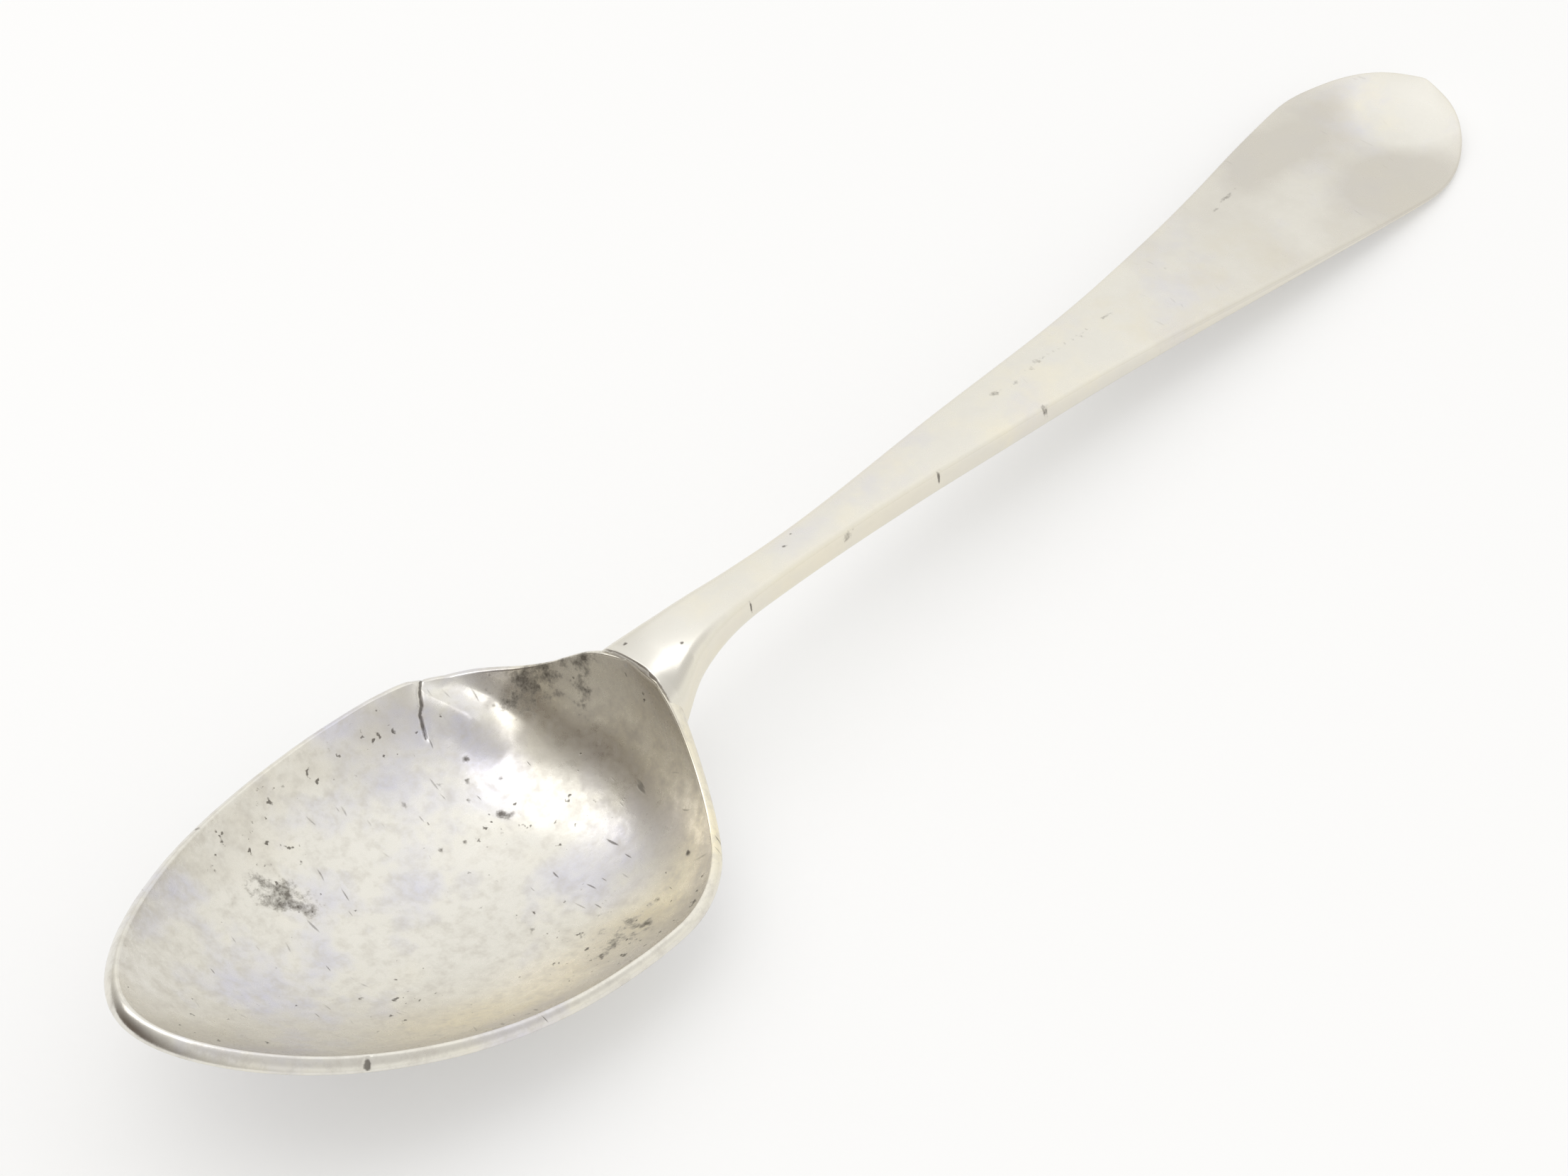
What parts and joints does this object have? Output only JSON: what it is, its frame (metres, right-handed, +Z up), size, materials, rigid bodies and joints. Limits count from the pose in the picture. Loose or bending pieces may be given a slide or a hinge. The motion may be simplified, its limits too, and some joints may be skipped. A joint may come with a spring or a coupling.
{
  "type": "teaspoon",
  "caption": "Worn old silver teaspoon with an egg-shaped bowl and a stem that widens to a rounded end.",
  "frame": {"origin": "middle of the worn flat under the bowl, on the table", "axes": "+X from the bowl's tip towards the stem, +Z up from the table, +Y to the left of that"},
  "size_m": [0.1226, 0.027, 0.0123],
  "materials": {
    "bowl_silver": "worn polish",
    "stem_silver": "worn polish",
    "solder": "dull"
  },
  "bodies": {
    "root": {"bowl": "bowl_silver", "stem": "stem_silver", "solder_seam": "solder"}
  },
  "joints": []
}
